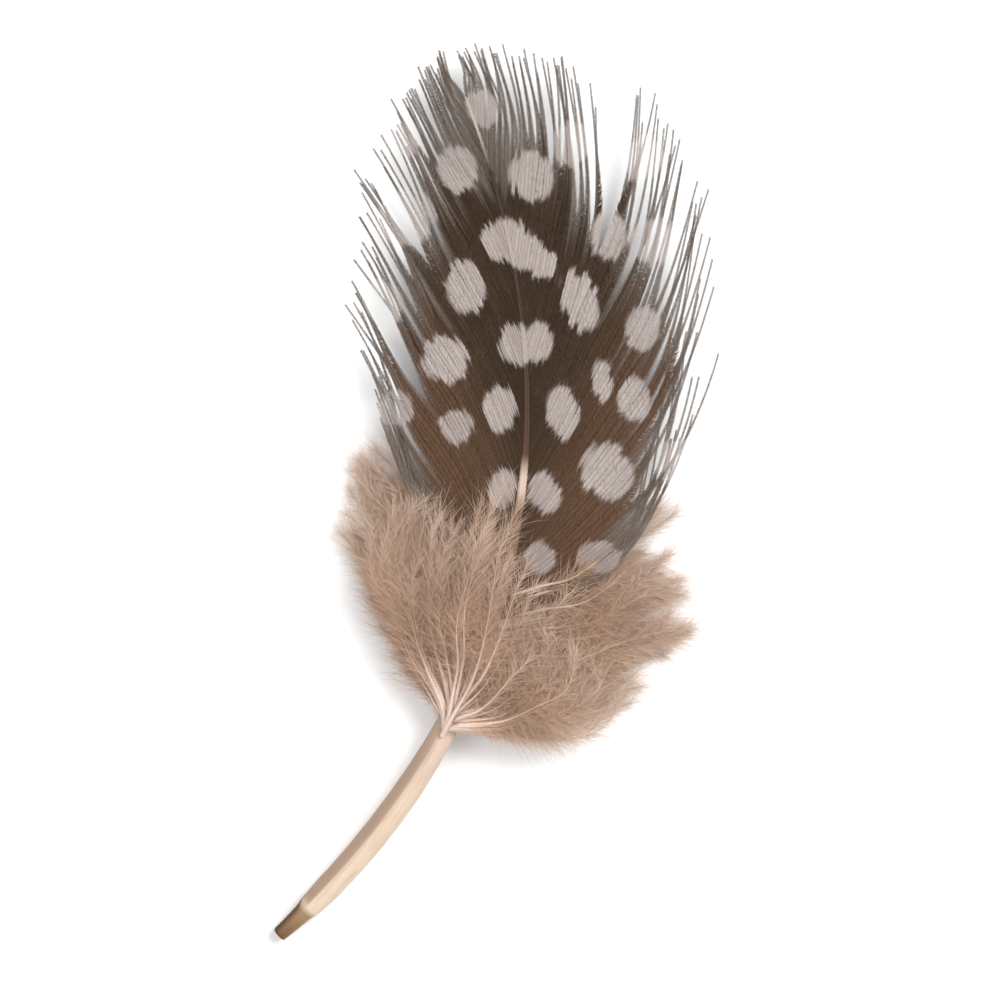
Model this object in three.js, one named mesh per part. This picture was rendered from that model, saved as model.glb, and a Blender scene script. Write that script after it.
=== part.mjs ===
// A guinea fowl body feather, shed and lying on its back on a flat surface: the shaft, the spotted vane on
// each side of it, the two tufts of down below the vane, and the downy afterfeather that springs from the
// collar. Millimetres, +Z up, the quill's end at the low left and the tip of the vane towards +Y.
import * as THREE from 'three';

// Driving dimensions. Distances along the shaft are measured from the quill's end.
const SHAFT_LENGTH = 64;
const COLLAR = 18.7; // where the bare quill ends and the first down springs
const GAP = 0.35; // clearance between neighbouring pieces

// The shaft's centreline: one cubic curve, with its collar over COLLAR_SPOT.
const COLLAR_SPOT = new THREE.Vector3(-3.57, -15.86, 0);
const QUILL_END = new THREE.Vector3(-11.8, -14.4, 0.75);
const QUILL_PULL = new THREE.Vector3(6.7, 2.3, 4.6);
const TIP_PULL = new THREE.Vector3(9.1, 23.5, -0.6);
const SHAFT_TIP = new THREE.Vector3(1.1, 44, 1.8);

// The shaft's half width at stations along it: dried end, full quill, collar, rachis, hair-thin tip.
const SHAFT_STATIONS = [0, 5, 12, COLLAR, 33, 48, SHAFT_LENGTH];
const SHAFT_RADII = [0.62, 0.93, 0.97, 0.84, 0.34, 0.2, 0.1];

// Two families of barbs grow on each side of the shaft. Each has its first and last root, the curve through
// its tips as (distance along the shaft, distance out from it), its sweep, which spreads the first tips wider
// along that curve than their roots, and its bow, the pull point of its first and its last barb.
const VANE = {
  roots: [29.5, SHAFT_LENGTH],
  tips: {
    right: [[40.5, 12], [50, 17.3], [62, 14.5], [66.5, 0.6]],
    left: [[39.5, 10], [48.5, 13.2], [61.5, 11.5], [66.5, 0.6]],
  },
  sweep: 2,
  bow: { along: [0.42, 0.42], out: [0.56, 0.64] },
};
const DOWN = {
  roots: [COLLAR, 28.9],
  tips: {
    right: [[25, 9], [29.5, 12.5], [35.5, 17], [39.7, 12.2]],
    left: [[25, 8.4], [29.5, 11.4], [35, 15.5], [38.7, 10.2]],
  },
  sweep: 0,
  bow: { along: [0.42, 0.42], out: [0.5, 0.5] },
};
const SIDE_SIGN = { right: 1, left: -1 };

// Thicknesses and heights.
const VANE_THICKNESS = 0.36;
const VANE_CUP = 2.2; // how far the margin stands above the shaft, at VANE_HALF_WIDTH from it
const VANE_HALF_WIDTH = 13;
const DOWN_HEIGHT = 3.0;
const DOWN_EDGE = 0.7;
const AFTERFEATHER = {
  end: [38.5, 27.5], // how far along the shaft it reaches, at its left edge and at its right
  floor: 3.35, // the height of its underside
  thickness: 3.6, // at its crown
  rim: 0.6, // its thickness at the edge
  halfWidth: 9.5,
  neck: 0.1, // its width at the collar, as a share of the full width
  flare: 0.62, // where its widening ends, as a share of a half wave
  rounding: 0.22, // how far its sides fall short of its end, as a share of its length
  crown: [0.12, 0.88], // the stretch of a half wave that its back follows
  sideFall: 0.8, // how much of that crown is lost at its sides
};

// Facets.
const SHAFT_SIDES = 12;
const SHAFT_STEPS = 56;
const VANE_GRID = { along: 26, out: 9 };
const DOWN_GRID = { along: 12, out: 8 };
const AFTERFEATHER_GRID = { along: 14, across: 12 };

const shaftCurve = new THREE.CubicBezierCurve3(
  ...[QUILL_END, QUILL_PULL, TIP_PULL, SHAFT_TIP].map((point) => point.clone().add(COLLAR_SPOT)),
);
const UP = new THREE.Vector3(0, 0, 1);

// A point of the shaft's centreline, its direction and its right-hand side, carried on straight past the tip.
function shaftFrame(along) {
  const share = THREE.MathUtils.clamp(along / SHAFT_LENGTH, 0, 1);
  const point = shaftCurve.getPointAt(share);
  const forward = shaftCurve.getTangentAt(share);
  const right = new THREE.Vector3().crossVectors(forward, UP).normalize();
  point.addScaledVector(forward, Math.max(0, along - SHAFT_LENGTH));
  return { point, forward, right };
}

// Straight-line interpolation of the shaft's half width between its stations.
function shaftRadius(along) {
  const next = SHAFT_STATIONS.findIndex((station) => station >= along);
  if (next < 1) return next === 0 ? SHAFT_RADII[0] : SHAFT_RADII.at(-1);
  const share = (along - SHAFT_STATIONS[next - 1]) / (SHAFT_STATIONS[next] - SHAFT_STATIONS[next - 1]);
  return THREE.MathUtils.lerp(SHAFT_RADII[next - 1], SHAFT_RADII[next], share);
}

// The point of the part that lies `along` the shaft, `out` to its right, and `height` above the floor.
function onFeather(along, out, height) {
  const { point, right } = shaftFrame(along);
  point.addScaledVector(right, out);
  point.z = height;
  return point;
}

// One barb of a family, u of the way from its first to its last, as a curve of (along, out) from root to tip.
function barb(family, side, u) {
  const tipLine = new THREE.CubicBezierCurve(...family.tips[side].map((pair) => new THREE.Vector2(...pair)));
  const tip = tipLine.getPoint((u * (1 + family.sweep)) / (1 + u * family.sweep));
  const root = THREE.MathUtils.lerp(...family.roots, u);
  const start = new THREE.Vector2(root, shaftRadius(root) + GAP);
  const pull = new THREE.Vector2(
    THREE.MathUtils.lerp(start.x, tip.x, THREE.MathUtils.lerp(...family.bow.along, u)),
    THREE.MathUtils.lerp(start.y, tip.y, THREE.MathUtils.lerp(...family.bow.out, u)),
  );
  return new THREE.QuadraticBezierCurve(start, pull, tip);
}

// A closed slab: place(u, v, w) puts each corner of a grid, with w 0 on its underside and 1 on its top.
function slab(alongSteps, outSteps, place) {
  const geometry = new THREE.BoxGeometry(1, 1, 1, outSteps, alongSteps, 1);
  const corners = geometry.getAttribute('position');
  for (let i = 0; i < corners.count; i += 1) {
    const spot = place(corners.getY(i) + 0.5, corners.getX(i) + 0.5, corners.getZ(i) + 0.5);
    corners.setXYZ(i, spot.x, spot.y, spot.z);
  }
  geometry.computeVertexNormals();
  return geometry;
}

// A family's barbs laid side by side make a fan on one side of the shaft, as high as height(spot, v, w) says.
function fan(family, side, grid, height) {
  const sign = SIDE_SIGN[side];
  return slab(grid.along, grid.out, (u, acrossGrid, w) => {
    const v = sign > 0 ? acrossGrid : 1 - acrossGrid;
    const spot = barb(family, side, u).getPoint(v);
    return onFeather(spot.x, sign * spot.y, height(spot, v, w));
  });
}

function shaftGeometry() {
  const geometry = new THREE.CylinderGeometry(1, 1, 1, SHAFT_SIDES, SHAFT_STEPS);
  const corners = geometry.getAttribute('position');
  for (let i = 0; i < corners.count; i += 1) {
    const along = (corners.getY(i) + 0.5) * SHAFT_LENGTH;
    const { point, forward, right } = shaftFrame(along);
    const above = new THREE.Vector3().crossVectors(right, forward);
    const radius = shaftRadius(along);
    point.addScaledVector(right, corners.getX(i) * radius);
    point.addScaledVector(above, corners.getZ(i) * radius);
    corners.setXYZ(i, point.x, point.y, point.z);
  }
  geometry.computeVertexNormals();
  return geometry;
}

// The vane is a thin sheet, level with the shaft and cupped upwards at its margin.
function vaneGeometry(side) {
  return fan(VANE, side, VANE_GRID, (spot, v, w) => {
    const cup = VANE_CUP * (spot.y / VANE_HALF_WIDTH) ** 2;
    return shaftFrame(spot.x).point.z + cup + (w - 0.5) * VANE_THICKNESS;
  });
}

// A tuft of down is flat where it rests and domed above, thinning to its edge.
function downGeometry(side) {
  return fan(DOWN, side, DOWN_GRID, (spot, v, w) => w * THREE.MathUtils.lerp(DOWN_HEIGHT, DOWN_EDGE, v * v));
}

// The afterfeather is a domed fan over the shaft, narrow at the collar and rounded at its end.
function afterfeatherGeometry() {
  return slab(AFTERFEATHER_GRID.along, AFTERFEATHER_GRID.across, (u, across, w) => {
    const spread = 2 * across - 1;
    const side = spread * spread;
    const { end, floor, thickness, rim, halfWidth, neck, flare, rounding, crown, sideFall } = AFTERFEATHER;
    const reach = THREE.MathUtils.lerp(...end, across);
    const along = THREE.MathUtils.lerp(COLLAR, reach, u * (1 - rounding * side));
    const width = halfWidth * THREE.MathUtils.lerp(neck, 1, Math.sin(Math.PI * flare * u));
    const rise = Math.sin(Math.PI * THREE.MathUtils.lerp(...crown, u)) * (1 - sideFall * side);
    return onFeather(along, spread * width, floor + w * THREE.MathUtils.lerp(rim, thickness, rise));
  });
}

const CREAM_HORN = { color: 0xdcc4ac, roughness: 0.4, metalness: 0 };
const SPOTTED_BARBS = { color: 0x4c3b30, roughness: 0.7, metalness: 0 };
const TAN_DOWN = { color: 0xa68773, roughness: 0.95, metalness: 0 };

const feather = new THREE.Group();

function add(name, geometry, finish) {
  const mesh = new THREE.Mesh(geometry, new THREE.MeshStandardMaterial(finish));
  mesh.name = name;
  feather.add(mesh);
}

add('shaft', shaftGeometry(), CREAM_HORN);
for (const side of Object.keys(SIDE_SIGN)) {
  add(`vane_${side}`, vaneGeometry(side), SPOTTED_BARBS);
  add(`down_${side}`, downGeometry(side), TAN_DOWN);
}
add('afterfeather', afterfeatherGeometry(), TAN_DOWN);

export default feather;
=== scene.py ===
"""A guinea fowl body feather that lies on its back: quill, spotted vane, down and afterfeather.

Sizes are in millimetres. A place on the feather is its distance along the shaft, counted from the quill's
end, and its distance out from the shaft. A barb is counted from 0 at its root to 1 at its tip.
"""
import logging
import math
from collections.abc import Sequence
from dataclasses import dataclass
from enum import Enum
from functools import cached_property

import bpy
import numpy as np
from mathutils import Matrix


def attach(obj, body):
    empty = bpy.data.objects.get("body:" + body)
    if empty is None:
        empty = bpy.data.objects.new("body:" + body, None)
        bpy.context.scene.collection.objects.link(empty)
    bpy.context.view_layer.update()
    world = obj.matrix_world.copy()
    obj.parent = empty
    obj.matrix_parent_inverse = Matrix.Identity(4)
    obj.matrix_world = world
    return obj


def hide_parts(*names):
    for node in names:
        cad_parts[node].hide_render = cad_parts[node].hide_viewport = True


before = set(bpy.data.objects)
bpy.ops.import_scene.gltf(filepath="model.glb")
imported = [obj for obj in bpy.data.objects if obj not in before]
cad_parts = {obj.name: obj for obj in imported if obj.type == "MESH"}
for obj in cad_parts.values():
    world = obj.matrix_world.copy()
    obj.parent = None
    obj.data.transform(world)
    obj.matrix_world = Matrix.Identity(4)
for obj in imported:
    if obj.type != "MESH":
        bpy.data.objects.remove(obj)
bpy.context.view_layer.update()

Array = np.ndarray
Pair = tuple[float, float]
Triple = tuple[float, float, float]
Colour = tuple[float, float, float]
Marks = dict[str, Array]

LOG = logging.getLogger("feather")
MILLIMETRE = 0.001
TINY = 1e-9
UP = np.array([0.0, 0.0, 1.0])
SHAFT_LENGTH = 64.0
COLLAR = 18.7  # where the bare quill ends and the first down springs
VANE_START = 27.0  # where the first barb of the vane springs
TUBE_SIDES = 4  # flat sides of a barb
BARB_STRIP = 0.1  # half the height of a barb on the flat map, as a share of its row
BARBULE_STRIP = (0.12, 0.3, 0.46)  # where a barbule starts, bends and ends in that row
RULER_POINTS = 60  # points by which a barb's length is measured
SMALL_STEP = 0.004  # the part of a barb over which its direction is taken
STATION_PLACE = (0.3, 0.7)  # where in its own stretch of the barb a barbule stands
HANDS = (1, -1)  # the two edges of a barb: towards the feather's tip, and towards its quill
BAKE_MAP = "OFBake"


class Side(Enum):
    """The two halves of the feather, by the sign of their distance out from the shaft."""

    LEFT = -1
    RIGHT = 1

    @property
    def word(self) -> str:
        """The half's name, as node names spell it."""
        return self.name.lower()


class Slot(Enum):
    """The record's material slots."""

    QUILL = "quill_horn"
    VANE = "spotted_vane"
    DOWN = "tan_down"


def between(first: Array | float, last: Array | float, share: Array | float) -> Array | float:
    """The value that lies a share of the way from the first to the last."""
    return first + (last - first) * share


def ease(low: float, high: float, value: Array) -> Array:
    """A smooth step from 0 below the low value to 1 above the high one."""
    share = np.clip((value - low) / (high - low), 0.0, 1.0)
    return share * share * (3.0 - 2.0 * share)


def unit(vectors: Array) -> Array:
    """The vectors, brought to length 1."""
    return vectors / np.maximum(np.linalg.norm(vectors, axis=-1, keepdims=True), TINY)


def bezier(corners: Sequence[Array], share: Array) -> Array:
    """Points of a curve that its corners pull.

    Args:
        corners: The curve's corners, from its start to its end, each one point or a row of them.
        share: How far along the curve each wanted point is, from 0 to 1.

    Returns:
        One point for each share, with as many coordinates as a corner has.
    """
    rows = [np.asarray(corner, dtype=float) for corner in corners]
    step = np.asarray(share, dtype=float)[..., None]
    while len(rows) > 1:
        rows = [between(first, last, step) for first, last in zip(rows, rows[1:])]
    return rows[0]


@dataclass(frozen=True)
class ShaftLine:
    """The line through the middle of the shaft, and the shaft's half width along it."""

    length: float = SHAFT_LENGTH
    collar_spot: Triple = (-3.57, -15.86, 0.0)
    quill_end: Triple = (-11.8, -14.4, 0.75)
    quill_pull: Triple = (6.7, 2.3, 4.6)
    tip_pull: Triple = (9.1, 23.5, -0.6)
    tip: Triple = (1.1, 44.0, 1.8)
    stations: tuple[float, ...] = (0.0, 5.0, 12.0, COLLAR, 33.0, 48.0, SHAFT_LENGTH)
    radii: tuple[float, ...] = (0.62, 0.93, 0.97, 0.84, 0.34, 0.2, 0.1)
    samples: int = 600

    @cached_property
    def curve(self) -> tuple[Array, Array, Array]:
        """The line as a row of samples.

        Returns:
            Distances along the line, the points there and the line's directions there.
        """
        spots = (self.quill_end, self.quill_pull, self.tip_pull, self.tip)
        corners = [np.add(self.collar_spot, spot) for spot in spots]
        points = bezier(corners, np.linspace(0.0, 1.0, self.samples))
        steps = np.linalg.norm(np.diff(points, axis=0), axis=1)
        run = np.concatenate(([0.0], np.cumsum(steps)))
        run *= self.length / run[-1]
        return run, points, unit(np.gradient(points, run, axis=0))

    def frame(self, along: Array) -> tuple[Array, Array, Array]:
        """The line's points, directions and right-hand sides, carried on straight past the tip.

        Args:
            along: Distances along the line.

        Returns:
            The points, the directions and the level directions to the right.
        """
        run, points, slopes = self.curve
        inside = np.clip(along, 0.0, self.length)
        point = np.stack([np.interp(inside, run, points[:, axis]) for axis in range(3)], axis=-1)
        forward = unit(np.stack([np.interp(inside, run, slopes[:, axis]) for axis in range(3)], axis=-1))
        past = np.maximum(along - self.length, 0.0)[..., None]
        return point + forward * past, forward, unit(np.cross(forward, UP))

    def radius(self, along: Array) -> Array:
        """The shaft's half width at distances along it."""
        return np.interp(along, self.stations, self.radii)


@dataclass(frozen=True)
class BarbFamily:
    """Barbs that grow in a row along one side of the shaft, as pairs of (along, out)."""

    roots: Pair
    sweep: float
    tips: dict[Side, tuple[Pair, ...]]
    bows: dict[Side, tuple[Triple, ...]]  # each curve's pull point: (place in the row, along, out)

    def spread(self, share: Array) -> Array:
        """How far along the line of tips each barb ends, by its place in the row."""
        return share * (1.0 + self.sweep) / (1.0 + share * self.sweep)

    def corners(self, line: ShaftLine, side: Side, share: Array,
                depth: float) -> tuple[Array, Array, Array]:
        """The curve of each barb.

        Args:
            line: The shaft that the barbs grow from.
            side: The half of the feather that they grow on.
            share: Where each barb is, from 0 for the first to 1 for the last.
            depth: How far out the roots start, as a share of the shaft's half width.

        Returns:
            The start, the pull point and the tip of each barb.
        """
        tip = bezier(self.tips[side], self.spread(share))
        root = between(*self.roots, share)
        start = np.stack([root, depth * line.radius(root)], axis=-1)
        place, along, out = np.array(self.bows[side]).T
        bow = np.stack([np.interp(share, place, along), np.interp(share, place, out)], axis=-1)
        return start, between(start, tip, bow), tip


VANE_FAMILY = BarbFamily(
    roots=(VANE_START, SHAFT_LENGTH),
    sweep=5.0,
    tips={
        Side.RIGHT: ((38.0, 9.6), (47.0, 13.5), (58.0, 20.0), (66.5, 0.6)),
        Side.LEFT: ((39.5, 10.0), (48.5, 13.2), (61.5, 11.5), (66.5, 0.6)),
    },
    bows={
        Side.RIGHT: ((0.0, 0.2, 0.68), (0.06, 0.45, 0.52), (0.15, 0.55, 0.42), (1.0, 0.5, 0.6)),
        Side.LEFT: ((0.0, 0.3, 0.56), (0.1, 0.45, 0.5), (0.5, 0.46, 0.52), (1.0, 0.5, 0.6)),
    },
)
DOWN_BOW = ((0.0, 0.42, 0.5), (1.0, 0.42, 0.5))
DOWN_FAMILY = BarbFamily(
    roots=(COLLAR, 28.9),
    sweep=0.0,
    tips={
        Side.RIGHT: ((24.5, 8.8), (27.5, 13.5), (32.5, 17.0), (36.0, 11.2)),
        Side.LEFT: ((25.0, 8.4), (29.5, 11.4), (35.0, 15.5), (38.7, 10.2)),
    },
    bows={side: DOWN_BOW for side in Side},
)


@dataclass(frozen=True)
class Spot:
    """One pale spot: its middle from the collar, its size, its lean in degrees and how pale it is."""

    x: float
    y: float
    width: float
    height: float
    lean: float = 0.0
    strength: float = 1.0


@dataclass(frozen=True)
class SpotPattern:
    """The pale spots of the vane, each a rounded patch whose edge is ragged from barb to barb."""

    softness: float = 0.1
    raggedness: float = 0.09
    seed: int = 5
    spots: tuple[Spot, ...] = (
        Spot(4.7, 26.7, 2.2, 2.9, 12.0),
        Spot(6.2, 26.8, 2.2, 2.9, -8.0),
        Spot(-0.3, 25.6, 3.3, 3.1),
        Spot(1.2, 30.7, 2.5, 3.6, 12.0),
        Spot(3.9, 34.0, 3.2, 3.0, 20.0),
        Spot(5.3, 33.1, 2.6, 2.4, 30.0),
        Spot(6.5, 32.3, 1.8, 1.9, 30.0),
        Spot(9.1, 29.7, 2.5, 4.3, 16.0),
        Spot(3.6, 22.2, 2.2, 3.1),
        Spot(7.9, 22.0, 2.2, 3.6, 6.0),
        Spot(10.7, 24.1, 1.4, 2.8),
        Spot(11.0, 17.8, 3.6, 3.9, 20.0),
        Spot(3.7, 16.6, 1.9, 2.8, -14.0),
        Spot(6.7, 16.3, 2.2, 3.0, 25.0),
        Spot(6.4, 11.8, 2.1, 2.2, 0.0, 0.85),
        Spot(10.4, 11.9, 3.0, 2.2, 0.0, 0.75),
        Spot(0.5, 20.9, 2.2, 2.3, 0.0, 0.8),
        Spot(0.7, 38.9, 2.8, 3.1, 10.0),
        Spot(5.7, 38.4, 3.0, 3.6, 25.0, 0.95),
        Spot(-3.1, 35.3, 3.8, 3.8, 20.0, 0.85),
        Spot(14.3, 33.7, 3.4, 3.2, -20.0, 0.95),
        Spot(11.2, 34.2, 2.4, 3.2, 0.0, 0.95),
        Spot(-4.5, 29.5, 2.6, 3.4, 25.0, 0.9),
        Spot(13.5, 27.7, 2.4, 3.0, 0.0, 0.95),
        Spot(12.9, 22.8, 2.2, 3.0, 0.0, 0.95),
        Spot(-3.6, 22.2, 2.4, 2.6, 20.0, 0.8),
        Spot(2.4, 43.0, 2.2, 2.6, 12.0, 0.9),
        Spot(8.6, 40.6, 2.6, 3.0, -10.0, 0.9),
        Spot(13.6, 39.4, 2.8, 3.0, -30.0, 0.9),
        Spot(-3.2, 41.0, 2.4, 2.8, 15.0, 0.9),
        Spot(15.6, 18.6, 2.4, 3.0, -20.0, 0.9),
    )

    def ragged(self, barbs: int) -> Array:
        """How far each barb's colour runs past each spot's edge, one row for each spot."""
        return np.random.default_rng(self.seed).normal(0.0, self.raggedness, (len(self.spots), barbs))

    def paleness(self, points: Array, which: Array, ragged: Array) -> Array:
        """How pale the vane is at points of it.

        Args:
            points: The places, measured from the collar.
            which: The number of the barb that each place belongs to.
            ragged: The table that ragged() made for these barbs.

        Returns:
            0 for dark to 1 for the middle of a spot.
        """
        pale = np.zeros(points.shape[:-1])
        for spot, edge in zip(self.spots, ragged):
            lean = math.radians(spot.lean)
            over = points[..., 0] - spot.x
            up = points[..., 1] - spot.y
            across = (over * math.cos(lean) + up * math.sin(lean)) / (spot.width / 2.0)
            length = (up * math.cos(lean) - over * math.sin(lean)) / (spot.height / 2.0)
            reach = np.hypot(across, length) + edge[which]
            inside = 1.0 - ease(1.0 - self.softness, 1.0 + self.softness, reach)
            pale = np.maximum(pale, spot.strength * inside)
        return pale


class StrandMesh:
    """Joins fine tubes and ribbons into one mesh, with marks for its finish and a flat map."""

    def __init__(self, name: str, marks: Sequence[str]) -> None:
        """Starts an empty mesh.

        Args:
            name: The name of the mesh and of its piece.
            marks: The names of the marks that its corners will carry.
        """
        self.name = name
        self.corners: list[Array] = []
        self.maps: list[Array] = []
        self.faces: list[Array] = []
        self.marks: dict[str, list[Array]] = {mark: [] for mark in marks}
        self.total = 0

    def add(self, corners: Array, faces: Sequence[Array], flat: Array, marks: Marks) -> None:
        """Adds corners and the faces between them.

        Args:
            corners: Places in millimetres, in any number of rows.
            faces: Arrays of faces, by the numbers of these corners.
            flat: The place of each corner on the flat map.
            marks: The value of each mark at each corner.
        """
        self.corners.append(corners.reshape(-1, 3))
        self.maps.append(flat.reshape(-1, 2))
        for name, rows in self.marks.items():
            rows.append(np.broadcast_to(marks[name], corners.shape[:-1]).ravel())
        self.faces.extend(face + self.total for face in faces)
        self.total += corners.size // 3

    def tubes(self, paths: Array, radii: Array, flat: Array, strip: float, marks: Marks) -> None:
        """Adds one tapered tube along each path.

        Args:
            paths: The middle line of each tube, as rows of points.
            radii: The half width of each tube at each point.
            flat: The flat map's place of each point of the paths.
            strip: Half the height that a tube takes on the flat map.
            marks: The value of each mark at each point of the paths.
        """
        sides = TUBE_SIDES
        rows, points = paths.shape[:2]
        forward = unit(np.gradient(paths, axis=1))
        across = unit(np.cross(forward, UP))
        above = np.cross(across, forward)
        turn = np.linspace(0.0, math.tau, sides, endpoint=False) + math.pi / 2.0
        ring = np.cos(turn)[:, None] * across[:, :, None] + np.sin(turn)[:, None] * above[:, :, None]
        corners = paths[:, :, None] + radii[:, :, None, None] * ring
        skew = 0.4  # keeps the sides of a tube apart on the flat map
        shift = np.stack([np.zeros(sides), strip * np.cos(turn + skew)], axis=-1)
        grid = np.arange(rows * points * sides).reshape(rows, points, sides)
        near, far = grid[:, :-1], grid[:, 1:]
        faces = np.stack([near, far, np.roll(far, -1, axis=2), np.roll(near, -1, axis=2)], axis=-1)
        spread = {name: np.repeat(np.broadcast_to(value, (rows, points))[:, :, None], sides, axis=2)
                  for name, value in marks.items()}
        self.add(corners, [faces.reshape(-1, 4)], flat[:, :, None] + shift, spread)

    def ribbons(self, spines: Array, across: Array, widths: Array, flat: Array, strip: float,
                marks: Marks) -> None:
        """Adds one flat ribbon along each spine, which ends in a point.

        Args:
            spines: The middle line of each ribbon, as rows of points.
            across: The direction of each ribbon's width.
            widths: The half width at each point but the last.
            flat: The flat map's place of each point of the spines.
            strip: Half the width that a ribbon takes on the flat map.
            marks: The value of each mark at each point of the spines.
        """
        rows, points = spines.shape[:2]
        hands = np.array([-1.0, 1.0])[:, None]
        body = spines[:, :-1, None] + hands * (widths[..., None] * across[:, None])[:, :, None]
        corners = np.concatenate([body.reshape(rows, -1, 3), spines[:, -1:]], axis=1)
        edge = flat[:, :-1, None] + hands * np.array([strip, 0.0])
        edges = np.concatenate([edge.reshape(rows, -1, 2), flat[:, -1:]], axis=1)
        size = 2 * points - 1
        first = np.arange(rows)[:, None] * size
        faces = [first + np.array([step, step + 1, step + 3, step + 2]) for step in range(0, size - 3, 2)]
        faces.append(first + np.array([size - 3, size - 2, size - 1]))
        spread = {}
        for name, value in marks.items():
            full = np.broadcast_to(value, (rows, points))
            spread[name] = np.concatenate([np.repeat(full[:, :-1], 2, axis=1), full[:, -1:]], axis=1)
        self.add(corners, faces, edges, spread)

    def piece(self, material: bpy.types.Material, node: str, slot: Slot) -> bpy.types.Object:
        """Makes the mesh and settles it on the feather in place of its CAD node.

        Args:
            material: The piece's finish.
            node: The CAD node that the piece stands for.
            slot: The record's material slot; not used.

        Returns:
            The new object.
        """
        sizes = np.concatenate([np.full(len(face), face.shape[1]) for face in self.faces])
        order = np.concatenate([face.ravel() for face in self.faces]).astype(np.int32)
        mesh = bpy.data.meshes.new(self.name)
        mesh.vertices.add(self.total)
        places = np.concatenate(self.corners) * MILLIMETRE
        mesh.vertices.foreach_set("co", places.astype(np.float32).ravel())
        mesh.loops.add(len(order))
        mesh.loops.foreach_set("vertex_index", order)
        mesh.polygons.add(len(sizes))
        mesh.polygons.foreach_set("loop_start", (np.cumsum(sizes) - sizes).astype(np.int32))
        mesh.update(calc_edges=True)
        mesh.shade_smooth()
        for name, rows in self.marks.items():
            mark = mesh.attributes.new(name, "FLOAT", "POINT")
            mark.data.foreach_set("value", np.concatenate(rows).astype(np.float32))
        flat = np.clip(np.concatenate(self.maps), 0.0, 1.0)[order]
        mesh.uv_layers.new(name=BAKE_MAP).data.foreach_set("uv", flat.astype(np.float32).ravel())
        mesh.materials.append(material)
        piece = bpy.data.objects.new(self.name, mesh)
        bpy.context.scene.collection.objects.link(piece)
        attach(piece, "root")
        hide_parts(node)
        return piece


class NodeBench:
    """Adds and joins the nodes of one material."""

    def __init__(self, name: str) -> None:
        """Starts a material with its shader, and nothing joined to it yet.

        Args:
            name: The material's name.
        """
        self.material = bpy.data.materials.new(name)
        self.material.use_nodes = True
        self.tree = self.material.node_tree
        self.shader = next(node for node in self.tree.nodes if node.type == "BSDF_PRINCIPLED")

    def feed(self, socket: bpy.types.NodeSocket, value: bpy.types.NodeSocket | float | Colour) -> None:
        """Joins a socket to another, or sets it to a number or a colour.

        Args:
            socket: The input to feed.
            value: The output, number or colour that it takes.
        """
        if isinstance(value, bpy.types.NodeSocket):
            self.tree.links.new(value, socket)
        elif isinstance(value, tuple) and len(socket.default_value) == 4:
            socket.default_value = (*value, 1.0)
        else:
            socket.default_value = value

    def set(self, **values: float | Colour | bpy.types.NodeSocket) -> None:
        """Sets or joins the shader's inputs, with _ for each space of their names."""
        for name, value in values.items():
            self.feed(self.shader.inputs[name.replace("_", " ")], value)

    def mark(self, name: str) -> bpy.types.NodeSocket:
        """Reads one of the mesh's marks.

        Args:
            name: The mark's name.

        Returns:
            The mark's value.
        """
        node = self.tree.nodes.new("ShaderNodeAttribute")
        node.attribute_name = name
        return node.outputs["Fac"]

    def mix(self, share: bpy.types.NodeSocket | float, first: bpy.types.NodeSocket | Colour,
            second: bpy.types.NodeSocket | Colour) -> bpy.types.NodeSocket:
        """A colour between two others.

        Args:
            share: How much of the second colour is taken.
            first: The colour at share 0.
            second: The colour at share 1.

        Returns:
            The mixed colour.
        """
        node = self.tree.nodes.new("ShaderNodeMix")
        node.data_type = "RGBA"
        for place, value in ((0, share), (6, first), (7, second)):
            self.feed(node.inputs[place], value)
        return node.outputs[2]

    def span(self, value: bpy.types.NodeSocket, low: float, high: float, first: float,
             last: float) -> bpy.types.NodeSocket:
        """A value moved from one range to another.

        Args:
            value: The value to move.
            low: The bottom of its range.
            high: The top of its range.
            first: What the bottom becomes.
            last: What the top becomes.

        Returns:
            The moved value.
        """
        node = self.tree.nodes.new("ShaderNodeMapRange")
        for place, number in enumerate((value, low, high, first, last)):
            self.feed(node.inputs[place], number)
        return node.outputs[0]

    def multiply(self, first: bpy.types.NodeSocket,
                 second: bpy.types.NodeSocket | float) -> bpy.types.NodeSocket:
        """Multiplies two values.

        Args:
            first: One value.
            second: The other.

        Returns:
            Their product.
        """
        node = self.tree.nodes.new("ShaderNodeMath")
        node.operation = "MULTIPLY"
        self.feed(node.inputs[0], first)
        self.feed(node.inputs[1], second)
        return node.outputs[0]

    def noise(self, scale: float, detail: float,
              place: bpy.types.NodeSocket | None = None) -> bpy.types.NodeSocket:
        """Cloudy values.

        Args:
            scale: How many clouds there are in a metre, or in one unit of the place.
            detail: How many finer layers the clouds have.
            place: Where the clouds are read; the object's own place if none is given.

        Returns:
            Values about 0.5.
        """
        node = self.tree.nodes.new("ShaderNodeTexNoise")
        if place is None:
            place = self.tree.nodes.new("ShaderNodeTexCoord").outputs["Object"]
        self.feed(node.inputs["Vector"], place)
        self.feed(node.inputs["Scale"], scale)
        self.feed(node.inputs["Detail"], detail)
        return node.outputs["Fac"]


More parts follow.
